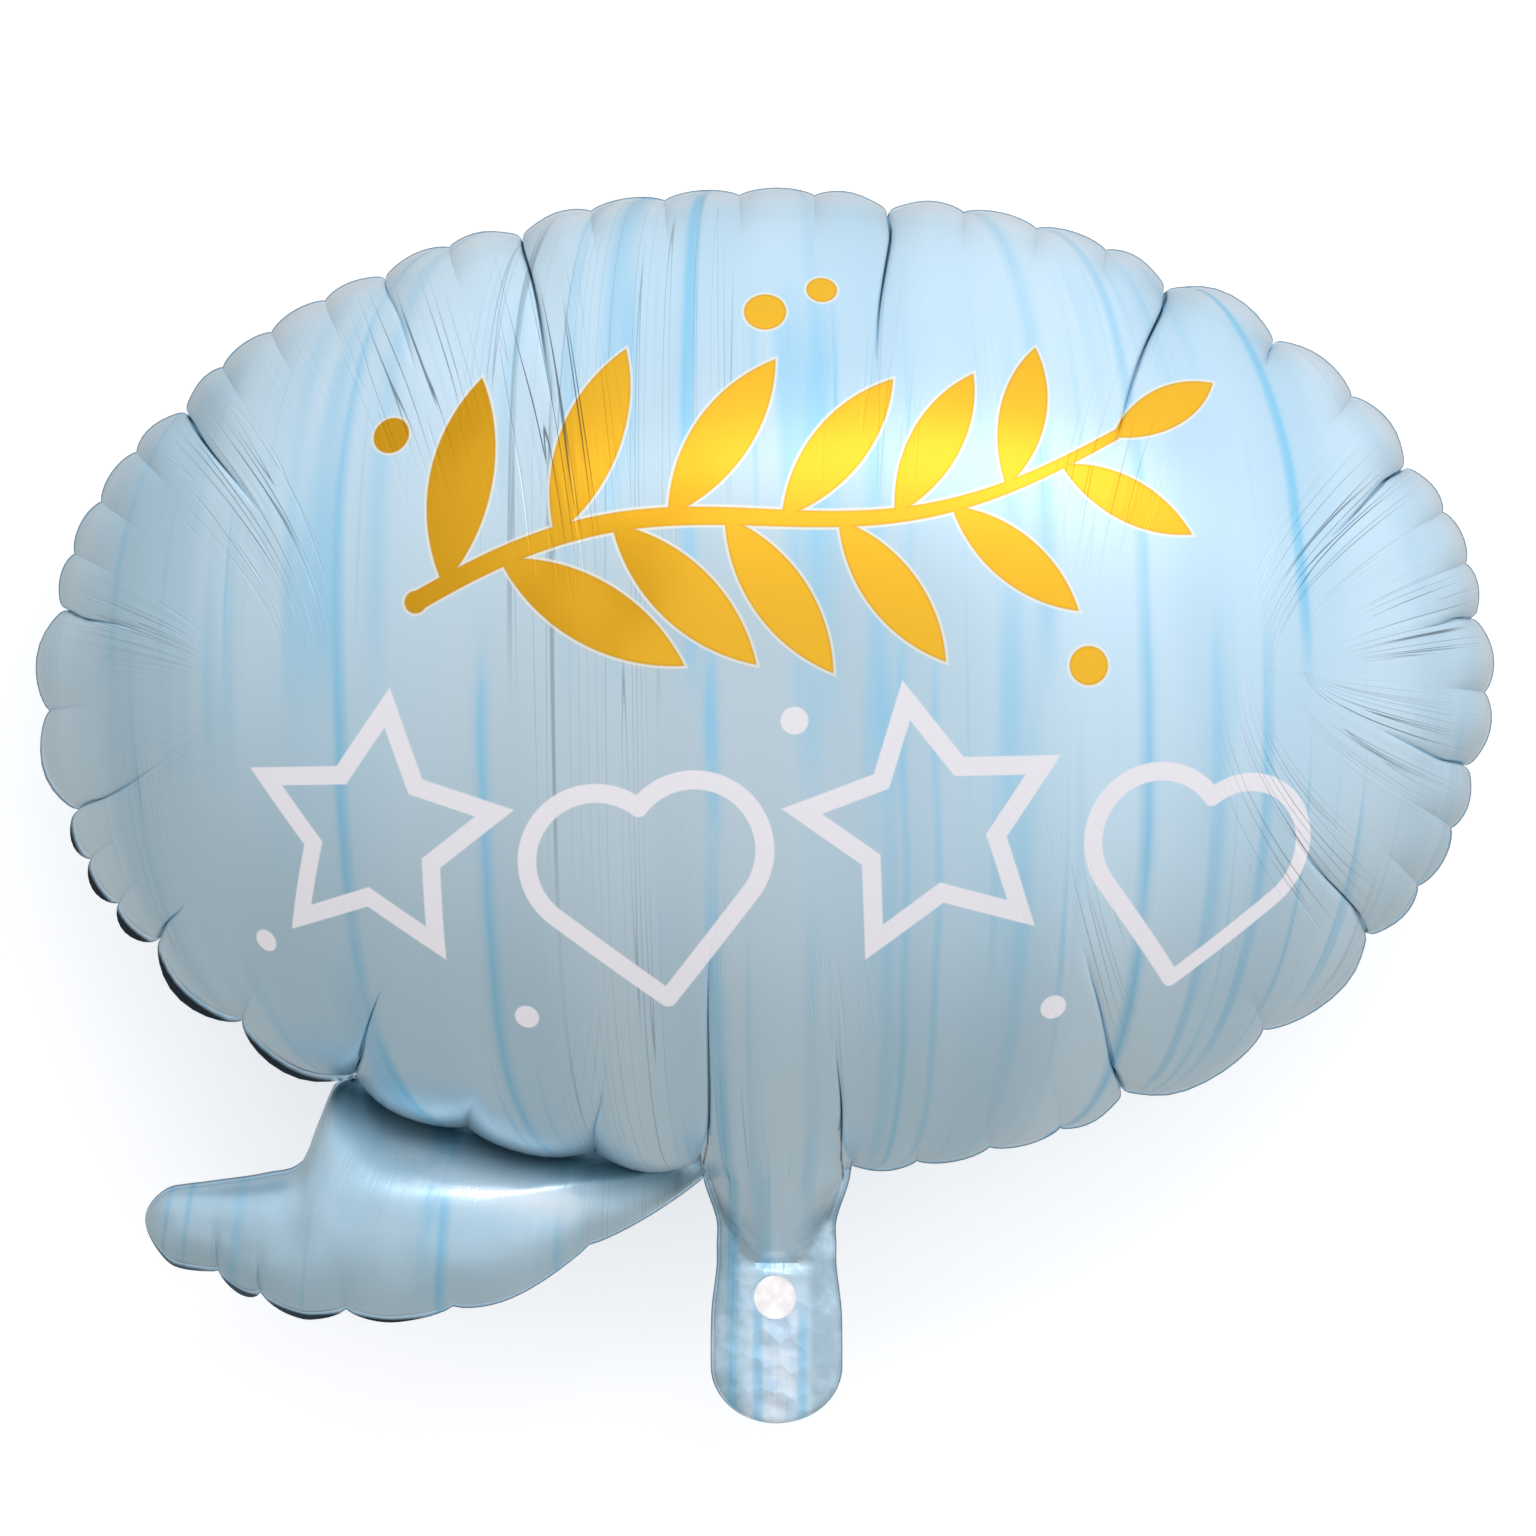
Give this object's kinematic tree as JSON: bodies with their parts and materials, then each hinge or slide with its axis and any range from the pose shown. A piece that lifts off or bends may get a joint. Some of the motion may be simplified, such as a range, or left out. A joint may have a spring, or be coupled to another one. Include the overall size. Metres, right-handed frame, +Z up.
{
  "type": "foil balloon",
  "caption": "Filled foil balloon in the outline of a speech bubble: puckered oval body, curled tail and flat filling neck, lying on its back.",
  "frame": {"origin": "under the middle of the whole outline, on the surface that the back rests on", "axes": "+X to the right of the printed face, +Y to the top of the bubble, +Z up out of the printed face"},
  "size_m": [0.662, 0.5614, 0.267],
  "materials": {
    "blue foil": "satin pearl print on metallised film",
    "valve film": "translucent white film"
  },
  "bodies": {
    "root": {"foil_envelope": "blue foil", "valve_film": "valve film"}
  },
  "joints": []
}
